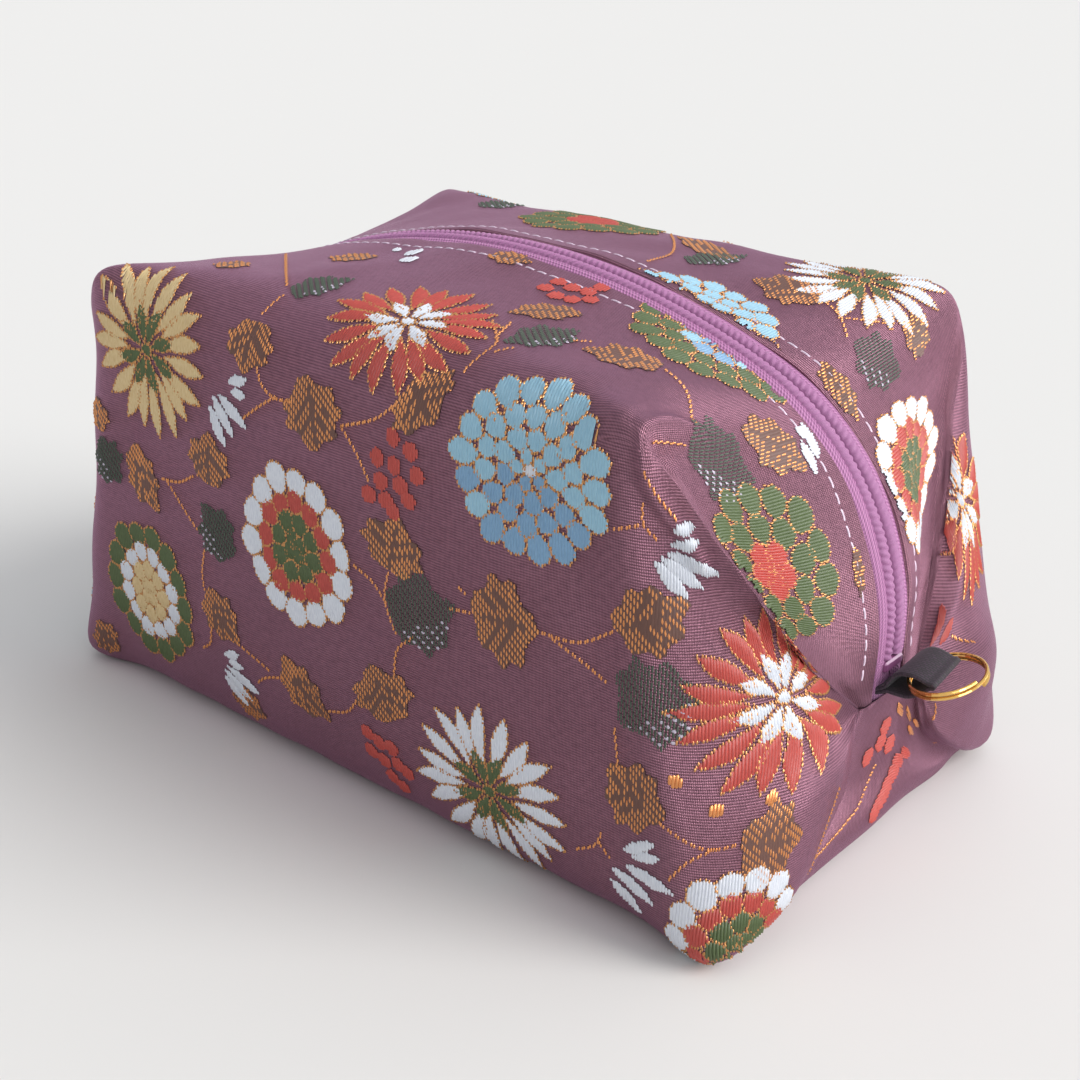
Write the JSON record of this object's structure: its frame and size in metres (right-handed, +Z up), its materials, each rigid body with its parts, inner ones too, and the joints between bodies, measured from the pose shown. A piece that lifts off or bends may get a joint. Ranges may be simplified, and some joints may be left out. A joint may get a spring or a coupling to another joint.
{
  "type": "zipped brocade pouch",
  "caption": "Soft boxed pouch of figured satin brocade with an arched zip along its crest, envelope-folded ends, a cloth end tab and a split ring.",
  "frame": {"origin": "middle of the flat base, on the surface that the pouch stands on", "axes": "+X along the zip towards the end with the split ring, -Y to the front, +Z up"},
  "size_m": [0.1696, 0.091, 0.0858],
  "materials": {
    "brocade": "satin weave with raised figures in white, red, green, blue and copper thread",
    "lining_cloth": "plain matt cloth",
    "zip_tape": "fine knitted tape",
    "zip_chain": "coil covered by knit loops",
    "tab_cloth": "close matt cloth",
    "gilt_metal": "bright gilt wire",
    "zip_metal": "lacquered in the tape's colour"
  },
  "bodies": {
    "bag": {"outer_shell": "brocade", "lining": "lining_cloth", "tape_front": "zip_tape", "tape_back": "zip_tape", "chain_front": "zip_chain", "chain_back": "zip_chain", "top_stop_front": "zip_metal", "top_stop_back": "zip_metal", "bottom_stop": "zip_metal", "tab_loop": "tab_cloth"},
    "slider": {"slider_body": "zip_metal"},
    "pull": {"pull_tab": "zip_metal"},
    "ring": {"split_ring": "gilt_metal"}
  },
  "joints": [
    {"name": "slider_run", "type": "hinge", "parent": "bag", "child": "slider", "pos_m": [-0.03517, 0, 0.03845], "axis": [0, 1, 0], "range_deg": [0, 55]},
    {"name": "pull_swing", "type": "hinge", "parent": "slider", "child": "pull", "pos_m": [-0.07709, 0, 0.04285], "axis": [0, 1, 0], "range_deg": [0, 175]},
    {"name": "ring_swing", "type": "hinge", "parent": "bag", "child": "ring", "pos_m": [0.0796, 0, 0.0335], "axis": [0, 0.9781, 0.2079], "range_deg": [-60, 80]}
  ]
}
